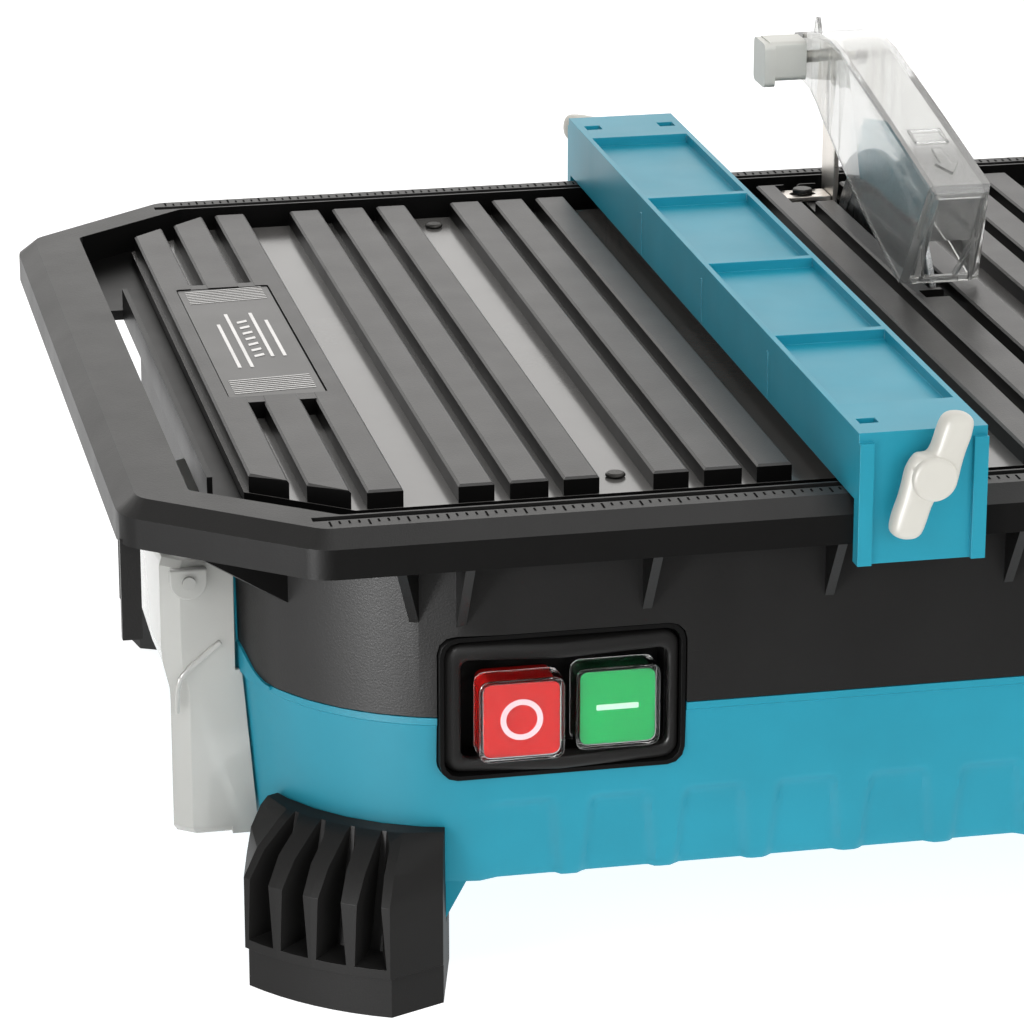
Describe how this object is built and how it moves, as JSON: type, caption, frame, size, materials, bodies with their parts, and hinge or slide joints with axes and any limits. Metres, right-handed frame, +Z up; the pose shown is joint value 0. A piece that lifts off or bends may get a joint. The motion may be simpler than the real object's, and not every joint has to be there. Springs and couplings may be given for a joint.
{
  "type": "tile cutter",
  "caption": "Compact table-top wet tile saw: ribbed deck in an octagonal rim, sliding fence, clear swing-up blade guard, two push buttons, battery bay and corner feet.",
  "frame": {"origin": "middle of the footprint, on the surface that the feet stand on", "axes": "+X to the user's right along the table's length, +Y away from the user along the blade and fence, +Z up"},
  "size_m": [0.413, 0.3614, 0.189],
  "materials": {
    "black_plastic": "fine moulded texture",
    "deck_plastic": "satin moulded",
    "badge": "printed plate with a plain line pattern",
    "teal_plastic": "satin moulded",
    "cream_plastic": "satin moulded",
    "grey_plastic": "satin moulded",
    "clear_plastic": "clear polycarbonate",
    "red_plastic": "satin moulded",
    "green_plastic": "satin moulded",
    "circuit_board": "lacquered board",
    "rubber": "matt",
    "magnet": "ground ferrite",
    "steel": "zinc plated",
    "black_oxide": "black oxide finish",
    "blade_steel": "ground disc with a bonded rim",
    "copper": "wound copper on a laminated core"
  },
  "bodies": {
    "base": {"table_frame": "black_plastic", "table_deck": "deck_plastic", "badge_plate": "badge", "lower_tub": "teal_plastic", "riving_knife": "steel", "knife_bracket": "steel", "bracket_screw": "steel", "knife_screw_1": "steel", "knife_screw_2": "steel", "motor_magnets": "magnet", "motor_can": "steel", "motor_end_cap": "black_plastic", "rear_bearing": "steel", "front_bearing": "steel", "motor_bracket": "black_plastic", "motor_screw_1": "steel", "motor_screw_2": "steel", "blade_trough": "black_plastic", "switch_housing": "black_plastic", "switch_bezel": "black_plastic", "switch_contact_block": "black_plastic", "battery_bay": "black_plastic", "battery_terminals": "black_plastic", "cover_hinge_pin": "steel", "control_board": "circuit_board", "deck_screw_1": "black_oxide", "deck_screw_2": "black_oxide", "deck_screw_3": "black_oxide", "deck_screw_4": "black_oxide", "foot_front_left": "rubber", "foot_front_right": "rubber", "foot_back_left": "rubber", "foot_back_right": "rubber"},
    "fence": {"fence_bar": "teal_plastic"},
    "front_knob": {"fence_knob_front": "cream_plastic", "fence_screw_front": "steel"},
    "front_jaw": {"fence_jaw_front": "steel"},
    "back_knob": {"fence_knob_back": "cream_plastic", "fence_screw_back": "steel"},
    "back_jaw": {"fence_jaw_back": "steel"},
    "guard": {"blade_guard": "clear_plastic", "guard_bolt": "steel"},
    "guard_clamp": {"guard_knob": "grey_plastic"},
    "spindle": {"motor_shaft": "steel", "motor_rotor": "copper", "commutator": "copper", "motor_fan": "black_plastic", "inner_flange": "steel", "diamond_blade": "blade_steel", "outer_flange": "steel", "arbor_nut": "steel"},
    "stop_button": {"stop_button": "red_plastic", "stop_button_cap": "clear_plastic"},
    "start_button": {"start_button": "green_plastic", "start_button_cap": "clear_plastic"},
    "cover": {"battery_cover": "clear_plastic"},
    "latch": {"cover_latch": "clear_plastic"}
  },
  "joints": [
    {"name": "fence_slide", "type": "slide", "parent": "base", "child": "fence", "axis": [1, 0, 0], "range_m": [-0.135, 0.03]},
    {"name": "front_knob_turn", "type": "hinge", "parent": "fence", "child": "front_knob", "pos_m": [-0.006, -0.1795, 0.1439], "axis": [0, 1, 0], "range_deg": [0, 240]},
    {"name": "front_jaw_grip", "type": "slide", "parent": "fence", "child": "front_jaw", "axis": [0, -1, 0], "range_m": [0, 0.00046667]},
    {"name": "back_knob_turn", "type": "hinge", "parent": "fence", "child": "back_knob", "pos_m": [-0.006, 0.1795, 0.1439], "axis": [0, -1, 0], "range_deg": [0, 240]},
    {"name": "back_jaw_grip", "type": "slide", "parent": "fence", "child": "back_jaw", "axis": [0, 1, 0], "range_m": [0, 0.00046667]},
    {"name": "guard_swing", "type": "hinge", "parent": "base", "child": "guard", "pos_m": [0.0571, 0.141, 0.177], "axis": [-1, 0, 0], "range_deg": [0, 60]},
    {"name": "guard_knob_turn", "type": "hinge", "parent": "guard", "child": "guard_clamp", "pos_m": [0.041, 0.141, 0.177], "axis": [1, 0, 0], "range_deg": [0, 180]},
    {"name": "spindle_spin", "type": "hinge", "parent": "base", "child": "spindle", "pos_m": [0.0571, 0.076, 0.103], "axis": [1, 0, 0], "continuous": true},
    {"name": "stop_press", "type": "slide", "parent": "base", "child": "stop_button", "axis": [0, 1, 0], "range_m": [0, 0.003], "stiffness_N_per_m": 500, "springref_m": -0.001},
    {"name": "start_press", "type": "slide", "parent": "base", "child": "start_button", "axis": [0, 1, 0], "range_m": [0, 0.003], "stiffness_N_per_m": 500, "springref_m": -0.001},
    {"name": "cover_swing", "type": "hinge", "parent": "base", "child": "cover", "pos_m": [-0.1779, -0.01, 0.07], "axis": [0, 0, -1], "range_deg": [0, 100]},
    {"name": "latch_turn", "type": "hinge", "parent": "cover", "child": "latch", "pos_m": [-0.186, -0.104, 0.1035], "axis": [0, 1, 0], "range_deg": [0, 90]}
  ],
  "couplings": [
    {"joint": "front_knob_turn", "follows": "front_jaw_grip", "rad_per_m": 8976},
    {"joint": "back_knob_turn", "follows": "back_jaw_grip", "rad_per_m": 8976}
  ]
}
